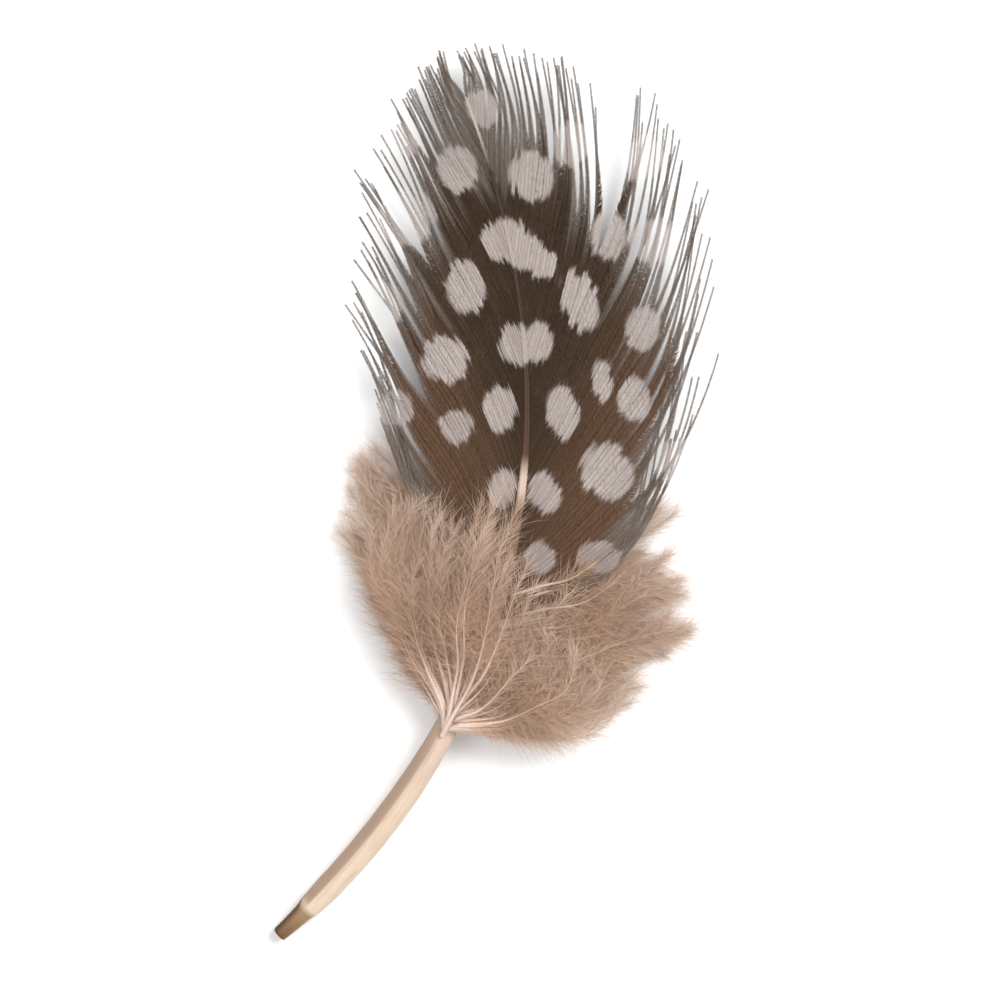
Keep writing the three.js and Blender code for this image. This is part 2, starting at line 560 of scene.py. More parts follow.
@dataclass(frozen=True)
class VaneFinish:
    """Dark brown barbs with pale spots, greyer where they are loose."""

    dark: Colour = (0.033, 0.0185, 0.0098)
    brown: Colour = (0.11, 0.058, 0.032)
    lit: Colour = (0.078, 0.049, 0.031)
    loose: Colour = (0.165, 0.136, 0.116)
    pale: Colour = (0.42, 0.365, 0.342)
    pale_warm: Colour = (0.345, 0.287, 0.262)
    clouds: Pair = (420.0, 3.0)  # clouds in a metre, and their finer layers
    cloud_span: Pair = (0.3, 0.7)
    loose_share: float = 0.9
    lit_share: Pair = (0.1, 0.9)
    roughness: Pair = (0.5, 0.68)
    specular: float = 0.1

    def material(self) -> bpy.types.Material:
        """Makes the finish, fed by the barbs' marks.

        Returns:
            The new material.
        """
        bench = NodeBench("spotted_vane_barbs")
        mottle = bench.noise(*self.clouds)
        ground = bench.mix(bench.mark("browning"), self.dark, self.brown)
        ground = bench.mix(bench.multiply(bench.mark("loose"), self.loose_share), ground, self.loose)
        lit = bench.multiply(bench.mark("tone"), bench.span(mottle, *self.cloud_span, *self.lit_share))
        ground = bench.mix(lit, ground, self.lit)
        pale = bench.mix(bench.mark("tone"), self.pale, self.pale_warm)
        bench.set(
            Base_Color=bench.mix(bench.mark("spot"), ground, pale),
            Roughness=bench.span(mottle, *self.cloud_span, *self.roughness),
            Specular_IOR_Level=self.specular,
        )
        return bench.material


@dataclass(frozen=True)
class DownFinish:
    """Matt tan fluff on pale pinkish barbs."""

    tan: Colour = (0.57, 0.37, 0.245)
    deep: Colour = (0.46, 0.285, 0.18)
    tip: Colour = (0.66, 0.52, 0.43)
    barb: Colour = (0.72, 0.565, 0.48)
    clouds: Pair = (260.0, 3.0)  # clouds in a metre, and their finer layers
    tan_span: Pair = (0.35, 0.65)
    rough_span: Pair = (0.3, 0.7)
    tone_share: float = 0.4
    roughness: Pair = (0.75, 0.9)
    specular: float = 0.15
    sheen: float = 0.08
    sheen_roughness: float = 0.5

    def material(self) -> bpy.types.Material:
        """Makes the finish, fed by the barbs' marks.

        Returns:
            The new material.
        """
        bench = NodeBench("tan_down_fluff")
        clouds = bench.noise(*self.clouds)
        fluff = bench.mix(bench.span(clouds, *self.tan_span, 0.0, 1.0), self.tan, self.deep)
        fluff = bench.mix(bench.mark("outer"), fluff, self.tip)
        fluff = bench.mix(bench.multiply(bench.mark("tone"), self.tone_share), fluff, self.tip)
        bench.set(
            Base_Color=bench.mix(bench.mark("pale"), fluff, self.barb),
            Roughness=bench.span(clouds, *self.rough_span, *self.roughness),
            Specular_IOR_Level=self.specular,
            Sheen_Weight=self.sheen,
            Sheen_Roughness=self.sheen_roughness,
        )
        return bench.material


@dataclass(frozen=True)
class HornFinish:
    """Cream horn, amber and dark at its dried end, pinkish at the collar and brown along the vane; the
    quill's darker flank is partly clear horn and partly painted shade.
    """

    # each distance along the shaft, and the colour there
    stops: tuple[tuple[float, Colour], ...] = (
        (0.0, (0.15, 0.08, 0.035)),
        (1.6, (0.25, 0.155, 0.08)),
        (2.5, (0.32, 0.21, 0.12)),
        (3.0, (0.67, 0.535, 0.405)),
        (13.0, (0.63, 0.49, 0.375)),
        (18.5, (0.6, 0.455, 0.37)),
        (26.0, (0.5, 0.36, 0.27)),
        (31.5, (0.2, 0.12, 0.075)),
        (34.6, (0.13, 0.07, 0.042)),
        (35.9, (0.55, 0.43, 0.35)),
        (36.9, (0.55, 0.43, 0.35)),
        (38.4, (0.075, 0.033, 0.018)),
        (45.0, (0.035, 0.018, 0.01)),
        (58.5, (0.035, 0.02, 0.013)),
        (61.5, (0.38, 0.33, 0.29)),
    )
    # the flank's colour: partly the clear horn's own, partly painted shade on the side away from the key
    # light; the fibre streaks take it too
    clear_and_shaded_flank: Colour = (0.32, 0.22, 0.16)
    streak: Colour = (0.05, 0.021, 0.008)
    pale: Colour = (0.4, 0.34, 0.31)
    roughness: float = 0.42
    rough_span: Pair = (0.3, 0.7)
    rough_share: Pair = (0.85, 1.15)
    specular: float = 0.18
    fibre_pace: Pair = (0.35, 14.0)  # how fast the fibres change along the shaft and round it
    fibre_layers: float = 4.0
    fibre_span: Pair = (0.45, 0.75)
    fibre_share: float = 0.35
    bump_strength: float = 0.3
    bump_height: float = 0.05
    glow: float = 0.12  # how much of the light passes under the surface
    glow_depth: float = 0.3
    glow_colour: Colour = (1.0, 0.6, 0.4)
    length: float = SHAFT_LENGTH

    def material(self) -> bpy.types.Material:
        """Makes the finish, fed by the shaft's marks.

        Returns:
            The new material.
        """
        bench = NodeBench("quill_horn_satin")
        nodes = bench.tree.nodes
        ramp = nodes.new("ShaderNodeValToRGB")
        ramp.color_ramp.elements.remove(ramp.color_ramp.elements[-1])
        ramp.color_ramp.elements[0].color = (*self.stops[0][1], 1.0)
        for along, colour in self.stops[1:]:
            ramp.color_ramp.elements.new(along / self.length).color = (*colour, 1.0)
        bench.feed(ramp.inputs["Fac"], bench.multiply(bench.mark("along"), 1.0 / self.length))
        fibre = nodes.new("ShaderNodeCombineXYZ")
        bench.feed(fibre.inputs["X"], bench.multiply(bench.mark("along"), self.fibre_pace[0]))
        bench.feed(fibre.inputs["Y"], bench.multiply(bench.mark("around"), self.fibre_pace[1]))
        grain = bench.noise(1.0, self.fibre_layers, fibre.outputs["Vector"])
        # painted shade: the clear flank on the side away from the key light is mixed to the darker flank
        # colour
        colour = bench.mix(bench.mark("clear_and_shaded_flank"), ramp.outputs["Color"], self.clear_and_shaded_flank)
        shown = bench.span(grain, *self.fibre_span, 0.0, self.fibre_share)
        fibres = bench.multiply(shown, bench.mark("bare"))
        colour = bench.mix(fibres, colour, self.clear_and_shaded_flank)
        colour = bench.mix(bench.mark("spot"), colour, self.pale)
        colour = bench.mix(bench.mark("streak"), colour, self.streak)
        bump = nodes.new("ShaderNodeBump")
        bump.inputs["Strength"].default_value = self.bump_strength
        bump.inputs["Distance"].default_value = self.bump_height * MILLIMETRE
        bench.feed(bump.inputs["Height"], grain)
        uneven = bench.span(grain, *self.rough_span, *self.rough_share)
        bench.set(
            Base_Color=colour,
            Roughness=bench.multiply(uneven, self.roughness),
            Normal=bump.outputs["Normal"],
            Subsurface_Weight=self.glow,
            Subsurface_Radius=self.glow_colour,
            Subsurface_Scale=self.glow_depth * MILLIMETRE,
            Specular_IOR_Level=self.specular,
        )
        return bench.material


@dataclass
class Quill:
    """The shaft: bare quill with its open dried end, and the grooved rachis."""

    line: ShaftLine
    finish: HornFinish
    pattern: SpotPattern
    sides: int = 36
    rings: int = 230
    groove: float = 0.24  # depth of the rachis groove, as a share of the half width
    groove_width: float = 0.07  # in shares of a turn
    groove_start: Pair = (21.0, 30.0)
    shrinking: float = 0.14  # how much thinner the dried end is, as a share of the half width
    shrunk_end: Pair = (2.2, 3.1)
    seam: float = 0.07  # depth of the line beside the clear flank with its painted shade, as a share of the half width
    seam_width: float = 0.02  # in shares of a turn
    seam_start: Pair = (2.0, 5.0)
    seam_end: Pair = (17.0, 24.0)
    waver: float = 0.015  # how uneven the shaft is, as a share of the half width
    waver_pace: Pair = (1.9, 0.83)
    tip_length: float = 0.2
    hollow: tuple[Pair, ...] = ((0.9, 0.35), (0.55, 0.2), (0.05, 0.72), (0.0, 0.86))  # of the open end
    clear_shaded_band: tuple[float, ...] = (0.7, 0.76, 0.955, 0.98)  # the clear flank, which is also painted darker as shade on the side away from the key light, in shares of a turn
    clear_shade_strength: float = 0.95
    bare_start: Pair = (2.4, 3.6)
    bare_end: Pair = (COLLAR - 3.0, COLLAR + 6.0)
    dried_length: float = 2.5
    dried_edge: float = 0.35
    dried_waves: Pair = (0.3, 0.4)  # how uneven that edge is, in three waves and in one
    dried_side: float = 0.8  # where it reaches furthest, in shares of a turn
    streak: Pair = (0.83, 0.085)  # the dark streak's place and width, in shares of a turn
    streak_strength: float = 0.93
    spot_start: Pair = (38.0, 41.0)
    spot_strength: float = 0.8

    def build(self) -> bpy.types.Object:
        """Makes the shaft's mesh and settles it.

        Returns:
            The new object.
        """
        inner = np.array(self.hollow)
        along = np.concatenate((inner[:, 0], np.linspace(0.0, self.line.length, self.rings)))
        share = np.concatenate((inner[:, 1], np.ones(self.rings)))
        around = np.linspace(0.0, 1.0, self.sides + 1)
        along, around = np.meshgrid(along, around, indexing="ij")
        turn = math.tau * around
        point, forward, right = self.line.frame(along)
        above = np.cross(right, forward)
        radius = self.line.radius(along) * share[:, None] * self.section(along, around)
        radius = radius * (1.0 - ease(self.line.length - self.tip_length, self.line.length, along))
        reach = np.sin(turn)[..., None] * right + np.cos(turn)[..., None] * above
        corners = point + radius[..., None] * reach
        mesh = StrandMesh("shaft_quill", ("along", "around", "bare", "clear_and_shaded_flank", "streak", "spot"))
        grid = np.arange(corners.size // 3).reshape(along.shape)
        near, far = grid[:-1], grid[1:]
        faces = np.stack([near[:, :-1], near[:, 1:], far[:, 1:], far[:, :-1]], axis=-1).reshape(-1, 4)
        flat = np.stack([np.cumsum(np.full(along.shape, 1.0 / len(along)), axis=0), around], axis=-1)
        mesh.add(corners, [faces], flat, self.marks(along, around, corners))
        return mesh.piece(self.finish.material(), "shaft", Slot.QUILL)

    def section(self, along: Array, around: Array) -> Array:
        """The shape of the cross-section.

        Args:
            along: Distances along the shaft.
            around: Places round it, from 0 over its top to 1.

        Returns:
            The reach from its middle, as a share of the half width.
        """
        away = np.minimum(around, 1.0 - around)
        groove = self.groove * np.exp(-((away / self.groove_width) ** 2)) * ease(*self.groove_start, along)
        beside = (around - self.clear_shaded_band[-1]) / self.seam_width
        seam = self.seam * np.exp(-(beside**2)) * ease(*self.seam_start, along)
        fast, slow = self.waver_pace
        waver = self.waver * np.sin(fast * along + 2.0 * math.tau * around) * np.sin(slow * along)
        dried = self.shrinking * (1.0 - ease(*self.shrunk_end, along))
        return 1.0 - groove - dried - seam * (1.0 - ease(*self.seam_end, along)) + waver

    def marks(self, along: Array, around: Array, corners: Array) -> Marks:
        """The marks that the horn finish reads.

        Args:
            along: Distances along the shaft.
            around: Places round it, from 0 over its top to 1.
            corners: The places of the mesh's corners.

        Returns:
            Each mark's value at each corner.
        """
        # the clear flank, which painted shade darkens on the side away from the key light
        shade_band = ease(*self.clear_shaded_band[:2], around) * (1.0 - ease(*self.clear_shaded_band[2:], around))
        bare = ease(*self.bare_start, along) * (1.0 - ease(*self.bare_end, along))
        short, long = self.dried_waves
        ragged = self.dried_length + short * np.sin(math.tau * 3.0 * around)
        ragged = ragged + long * np.cos(math.tau * (around - self.dried_side))
        dried = 1.0 - ease(ragged - self.dried_edge, ragged + self.dried_edge, along)
        place, width = self.streak
        streak = np.exp(-(((around - place) / width) ** 2))
        plan = corners[..., :2] - np.array(self.line.collar_spot[:2])
        none = np.zeros(along.shape, dtype=int)
        spot = self.pattern.paleness(plan, none, self.pattern.ragged(1)) * ease(*self.spot_start, along)
        return {
            "along": along,
            "around": around,
            "bare": bare,
            "clear_and_shaded_flank": self.clear_shade_strength * shade_band * bare,
            "streak": self.streak_strength * streak * dried,
            "spot": self.spot_strength * spot,
        }


@dataclass
class BarbFan:
    """A fan of barbs on one side of the shaft, and the barbules along them."""

    line: ShaftLine
    side: Side
    seed: int
    count: int

    def plan(self, which: Array, run: Array) -> tuple[Array, Array]:
        """Where barbs pass over the feather.

        Args:
            which: The barbs' numbers.
            run: How far along each barb, from 0 to 1.

        Returns:
            The distances along the shaft and out to its right.
        """
        raise NotImplementedError

    def height(self, which: Array, run: Array, along: Array, out: Array) -> Array:
        """How high barbs pass above the floor.

        Args:
            which: The barbs' numbers.
            run: How far along each barb, from 0 to 1.
            along: The distances along the shaft there.
            out: The distances out from the shaft there.

        Returns:
            The heights.
        """
        raise NotImplementedError

    def points(self, which: Array, run: Array) -> Array:
        """Points of barbs.

        Args:
            which: The barbs' numbers.
            run: How far along each barb, from 0 to 1.

        Returns:
            The places there.
        """
        along, out = self.plan(which, run)
        point, _, right = self.line.frame(along)
        spot = point + right * out[..., None]
        spot[..., 2] = self.height(which, run, along, out)
        return spot

    def directions(self, which: Array, run: Array) -> tuple[Array, Array]:
        """The directions of barbs, and the level directions across them towards the feather's tip."""
        forward = unit(self.points(which, run + SMALL_STEP) - self.points(which, run - SMALL_STEP))
        return forward, self.side.value * unit(np.cross(UP, forward))

    def stations(self, pitch: float, rng: np.random.Generator) -> tuple[Array, Array, Array]:
        """Places for barbules, evenly along every barb.

        Args:
            pitch: The distance between them.
            rng: The source of their small unevenness.

        Returns:
            The barb's number, the place along it, and half the step there, for each barbule.
        """
        runs = np.linspace(0.0, 1.0, RULER_POINTS)
        numbers, places, halves = [], [], []
        for number in range(self.count):
            path = self.points(np.full(runs.shape, number), runs)
            steps = np.linalg.norm(np.diff(path, axis=0), axis=1)
            reach = np.concatenate(([0.0], np.cumsum(steps)))
            total = max(2, int(reach[-1] / pitch))
            wanted = (np.arange(total) + rng.uniform(*STATION_PLACE, total)) * reach[-1] / total
            numbers.append(np.full(total, number))
            places.append(np.interp(wanted, reach, runs))
            halves.append(np.full(total, 0.5 / total))
        return np.concatenate(numbers), np.concatenate(places), np.concatenate(halves)

    def grid(self, points: int) -> tuple[Array, Array]:
        """The number of each barb, and evenly spaced places along it, as two tables."""
        return np.meshgrid(np.arange(self.count), np.linspace(0.0, 1.0, points), indexing="ij")

    def taper(self, run: Array, radii: Sequence[float]) -> Array:
        """The half width of barbs, from half widths that are spread evenly from root to tip."""
        return np.interp(run, np.linspace(0.0, 1.0, len(radii)), radii)

    def rows(self, which: Array, run: Array, off: Array | float) -> Array:
        """Places on the flat map: one row for each barb, and off from its middle by -0.5 to 0.5."""
        return np.stack(np.broadcast_arrays(run, (which + 0.5 + off) / self.count), axis=-1)


@dataclass
class VaneHalf(BarbFan):
    """One half of the vane: closed and dark near the shaft, loose along its margin, with pale spots."""

    count: int = 84
    crowding: float = 1.75  # how much closer the first barbs stand than the last
    finish: VaneFinish = VaneFinish()
    pattern: SpotPattern = SpotPattern()
    cup: float = 2.2  # how far the margin stands above the shaft, at half_width from it
    half_width: float = 13.0
    root_depth: float = 0.55  # how far out the barbs start, as a share of the shaft's half width
    rise: float = 0.35  # how far above the shaft's middle the barbs spring, as a share of the half width
    barb_points: int = 46
    barb_radii: tuple[float, ...] = (0.06, 0.045, 0.03, 0.018, 0.008)
    pitch: float = 0.062  # from one barbule to the next
    barbule_width: float = 0.037
    barbule_lean: float = 36.0  # in degrees from the barb
    closed: float = 0.56  # how far along a barb its web stays closed
    closed_first: float = 0.45  # the share of that for the first barb
    closed_from: float = 30.0  # how far along the shaft the barbs have the whole of it
    loose_from: float = 57.5  # how far along the shaft the web is closed anywhere
    clinging: Pair = (0.06, -0.05)  # how much further it closes inside a clump, and between two
    zip_spread: float = 0.04  # how much that place differs from gap to gap
    web_edge: Pair = (-0.08, 0.16)  # where the web opens, before and past that place
    place_spread: float = 0.18  # how unevenly the barbs stand, as a share of their spacing
    shortening: float = 0.05  # how much shorter than its family's curve a barb may be
    clump_end: float = 0.36  # how often a clump ends at a barb
    straying: float = 0.28  # how far a tip strays by itself
    clump_pull: float = 0.3  # how far it is drawn to its clump
    curl: Pair = (0.3, 1.9)  # how far the loose barbs lean, along the shaft and out
    curl_fade: float = 0.75  # how much of that is lost by the last barb
    curl_run: Pair = (0.35, 1.15)
    hook: Pair = (2.6, -2.6)  # how far their ends then bend over
    hook_spread: Pair = (0.6, 1.3)
    hook_fade: float = 0.7
    hook_run: Pair = (0.55, 1.2)
    splits: tuple[Pair, ...] = ((0.76, 2.2), (0.22, 1.2))  # each one's place among the tips, and opening
    split_width: float = 0.11
    split_way: Pair = (0.35, -0.75)  # which way barbs lean from a split, along the shaft and out
    root_run: float = 0.3  # the part of a barb that rises from the shaft
    ripple: Pair = (0.08, 0.05)  # heights of the slow wave over the vane and the quick one along a barb
    ripple_pace: Triple = (0.9, 0.5, 9.0)  # along the shaft, out from it, and along a barb
    lift_spread: float = 0.35
    lift_from: float = 0.4
    tone_shape: Pair = (1.6, 2.4)
    barb_tone: Pair = (0.35, 0.6)  # the lightness of the darkest barb, and how much others add
    barbule_tone: Triple = (0.15, 0.5, 0.16)  # the same for barbules, and how much they differ
    browning_run: Pair = (0.02, 0.36)
    lean_spread: float = 0.07
    length_spread: Pair = (0.85, 1.12)
    barbule_bend: float = 0.12
    barbule_middle: float = 0.55
    barbule_tilt: float = 0.3
    sink: Triple = (0.022, 0.02, 0.006)  # how deep barbules lie, how much deeper one edge, and the spread
    root_sink: float = 0.5  # the share of that depth at a barbule's root
    end_sink: float = 1.2  # and at its end
    overlap: float = 0.85  # how far closed barbules reach over their gap
    closed_length: Pair = (0.12, 0.8)
    fringe_length: Pair = (0.25, 0.13)
    fringe_width: float = 0.5  # how wide loose barbules are, as a share of closed ones
    root_width: float = 0.9
    fringe_run: Pair = (0.5, 1.0)

    def __post_init__(self) -> None:
        """Draws the small differences between the barbs."""
        rng = np.random.default_rng(self.seed)
        uneven = rng.uniform(-self.place_spread, self.place_spread, self.count)
        share = ((np.arange(self.count) + 0.5 + uneven) / self.count) ** self.crowding
        self.start, self.pull, self.tip = VANE_FAMILY.corners(self.line, self.side, share, self.root_depth)
        shorter = np.abs(rng.normal(0.0, self.shortening, self.count))
        self.tip = between(self.start, self.tip, 1.0 - shorter[:, None])
        clump = np.cumsum(rng.uniform(0.0, 1.0, self.count) < self.clump_end)
        self.lean = self.drawn(clump, rng) + self.opened(VANE_FAMILY.spread(share))
        self.lean = self.lean + np.array(self.curl) * (1.0 - self.curl_fade * share)[:, None]
        hooked = rng.uniform(*self.hook_spread, self.count) * (1.0 - self.hook_fade * share)
        self.bend = np.array(self.hook) * hooked[:, None]
        self.opening = self.unzipped(clump, rng)
        self.lift = rng.normal(0.0, self.lift_spread, self.count)
        self.wave = rng.uniform(0.0, math.tau, self.count)
        self.tones = rng.beta(*self.tone_shape, self.count)
        self.browning = 1.0 - ease(*self.browning_run, share)
        self.ragged = self.pattern.ragged(self.count)
        self.rng = rng

    def drawn(self, clump: Array, rng: np.random.Generator) -> Array:
        """How far each barb's tip strays, and is drawn to those it clings to.

        Args:
            clump: The number of the clump that each barb clings to.
            rng: The source of the differences.

        Returns:
            One pair of (along, out) for each barb.
        """
        drawn = rng.normal(0.0, self.straying, self.tip.shape)
        for number in np.unique(clump):
            tips = self.tip[clump == number]
            drawn[clump == number] += self.clump_pull * (tips.mean(axis=0) - tips)
        return drawn

    def opened(self, spread: Array) -> Array:
        """How far each barb leans away from the splits in the vane.

        Args:
            spread: Where each barb ends along the line of tips.

        Returns:
            One pair of (along, out) for each barb.
        """
        leaning = np.zeros_like(self.tip)
        for place, opening in self.splits:
            gap = spread - place
            shift = opening * np.sign(gap) * np.exp(-np.abs(gap) / self.split_width)
            leaning += shift[:, None] * np.array(self.split_way)
        return leaning

    def unzipped(self, clump: Array, rng: np.random.Generator) -> Array:
        """How far along the barbs the web between two of them stays closed.

        Args:
            clump: The number of the clump that each barb clings to.
            rng: The source of the differences.

        Returns:
            One place for each gap: before the first barb, between each two, and after the last.
        """
        clinging = np.diff(clump, prepend=clump[0] - 1, append=clump[-1] + 1) == 0
        limit = (self.loose_from - self.start[:, 0]) / (self.tip[:, 0] - self.start[:, 0])
        settled = ease(VANE_START, self.closed_from, self.start[:, 0])
        place = np.minimum(self.closed, limit) * between(self.closed_first, 1.0, settled)
        place = np.append(place, place[-1]) + np.where(clinging, *self.clinging)
        return place + rng.normal(0.0, self.zip_spread, self.count + 1)

    def plan(self, which: Array, run: Array) -> tuple[Array, Array]:
        """Where barbs pass over the feather.

        Args:
            which: The barbs' numbers.
            run: How far along each barb, from 0 to 1.

        Returns:
            The distances along the shaft and out to its right.
        """
        spot = bezier([self.start[which], self.pull[which], self.tip[which]], run)
        spot = spot + self.lean[which] * ease(*self.curl_run, run)[..., None]
        spot = spot + self.bend[which] * ease(*self.hook_run, run)[..., None]
        return spot[..., 0], self.side.value * spot[..., 1]

    def height(self, which: Array, run: Array, along: Array, out: Array) -> Array:
        """How high barbs pass above the floor.

        Args:
            which: The barbs' numbers.
            run: How far along each barb, from 0 to 1.
            along: The distances along the shaft there.
            out: The distances out from the shaft there.

        Returns:
            The heights.
        """
        point, _, _ = self.line.frame(along)
        sprung = ease(0.0, self.root_run, run)
        spring = self.rise * self.line.radius(along) * (1.0 - sprung)
        cup = self.cup * (out / self.half_width) ** 2
        slow, quick = self.ripple
        by_along, by_out, by_run = self.ripple_pace
        ripple = slow * np.sin(by_along * along + by_out * out)
        ripple = ripple + quick * np.sin(by_run * run + self.wave[which])
        loose = self.lift[which] * np.maximum(run - self.lift_from, 0.0) ** 2 * 2.0
        return point[..., 2] + spring + cup + ripple * sprung + loose

    def openness(self, which: Array, run: Array, hand: int) -> Array:
        """How loose the web is on one edge of barbs, from 0 where it is closed to 1 in the fringe."""
        return ease(*self.web_edge, run - self.opening[which + (hand > 0)])

    def marks(self, which: Array, points: Array, loose: Array, tone: Array) -> Marks:
        """The marks that the vane's finish reads.

        Args:
            which: The barbs' numbers.
            points: Places on those barbs.
            loose: How loose the web is there.
            tone: How light each strand is.

        Returns:
            Each mark's value at each place.
        """
        plan = points[..., :2] - np.array(self.line.collar_spot[:2])
        spot = self.pattern.paleness(plan, which, self.ragged)
        return {"spot": spot, "loose": loose, "browning": self.browning[which], "tone": tone}

    def build(self) -> bpy.types.Object:
        """Makes this half's barbs and barbules and settles them.

        Returns:
            The new object.
        """
        mesh = StrandMesh(f"vane_{self.side.word}_barbs", ("spot", "loose", "browning", "tone"))
        self.add_barbs(mesh)
        self.add_barbules(mesh)
        return mesh.piece(self.finish.material(), f"vane_{self.side.word}", Slot.VANE)

    def add_barbs(self, mesh: StrandMesh) -> None:
        """Adds the barbs to a mesh.

        Args:
            mesh: The mesh that takes them.
        """
        which, run = self.grid(self.barb_points)
        paths = self.points(which, run)
        radii = self.taper(run, self.barb_radii)
        darkest, added = self.barb_tone
        tone = darkest + added * self.tones[which]
        loose = 0.5 * (self.openness(which, run, 1) + self.openness(which, run, -1))
        marks = self.marks(which, paths, loose, tone)
        mesh.tubes(paths, radii, self.rows(which, run, 0.0), BARB_STRIP / self.count, marks)

    def add_barbules(self, mesh: StrandMesh) -> None:
        """Adds the barbules of both edges of every barb to a mesh.

        Args:
            mesh: The mesh that takes them.
        """
        which, run, half = self.stations(self.pitch, self.rng)
        forward, across = self.directions(which, run)
        root = self.points(which, run)
        lean = math.radians(self.barbule_lean)
        depth, deeper, depth_spread = self.sink
        darkest, added, tone_spread = self.barbule_tone
        for hand in HANDS:
            loose = self.openness(which, run, hand)
            spread = lean + self.rng.normal(0.0, self.lean_spread, which.shape)
            reach = self.reach(which, run, root, across, hand, loose)
            reach = reach * self.rng.uniform(*self.length_spread, which.shape)
            sideways = hand * across
            way = np.cos(spread)[:, None] * forward + np.sin(spread)[:, None] * sideways
            bend = self.barbule_bend * reach[:, None] * sideways
            sink = depth + deeper * (hand < 0) + self.rng.normal(0.0, depth_spread, which.shape)
            down = UP * sink[:, None]
            middle = root + self.barbule_middle * reach[:, None] * way + bend - down
            end = root + reach[:, None] * way - self.end_sink * down
            spine = np.stack([root - self.root_sink * down, middle, end], axis=1)
            width = self.barbule_width * between(1.0, self.fringe_width, loose)
            widths = np.stack([self.root_width * width, width], axis=1)
            tilt = self.rng.normal(0.0, self.barbule_tilt, which.shape)
            flat_across = unit(np.cross(UP, way)) * np.cos(tilt)[:, None] + UP * np.sin(tilt)[:, None]
            flat = self.rows(which[:, None], run[:, None], hand * np.array(BARBULE_STRIP))
            tone = darkest + added * self.tones[which] + self.rng.normal(0.0, tone_spread, which.shape)
            tone = np.clip(tone, 0.0, 1.0)
            many = np.broadcast_to(which[:, None], spine.shape[:2])
            marks = self.marks(many, spine, loose[:, None], tone[:, None])
            mesh.ribbons(spine, flat_across, widths, flat, float(np.median(half)), marks)

    def reach(self, which: Array, run: Array, root: Array, across: Array, hand: int, loose: Array) -> Array:
        """How long barbules are: past the middle of the gap where the web is closed, short in the fringe.

        Args:
            which: The barbs' numbers.
            run: How far along each barb.
            root: The barbules' roots.
            across: The directions across the barbs.
            hand: 1 for the edge towards the feather's tip, -1 for the other.
            loose: How loose the web is there.

        Returns:
            The barbules' lengths.
        """
        other = which + hand
        outside = (other < 0) | (other >= self.count)
        other = np.where(outside, which - hand, other)
        gap = np.abs(np.sum((self.points(other, run) - root) * across, axis=-1))
        slant = math.sin(math.radians(self.barbule_lean))
        closed = np.clip(self.overlap * gap / slant, *self.closed_length)
        fringe = between(*self.fringe_length, ease(*self.fringe_run, run))
        return between(closed, fringe, loose)


@dataclass(frozen=True)
class Wave:
    """One slow wave through the fluff.

    It has the axis that it moves, its strength, its pace on each axis in radians a millimetre and its phase.
    """

    axis: int
    strength: float
    pace: Triple
    phase: float = 0.0

    def push(self, spots: Array) -> Array:
        """How far the wave moves each point along its axis."""
        return self.strength * np.sin(spots @ np.array(self.pace) + self.phase)


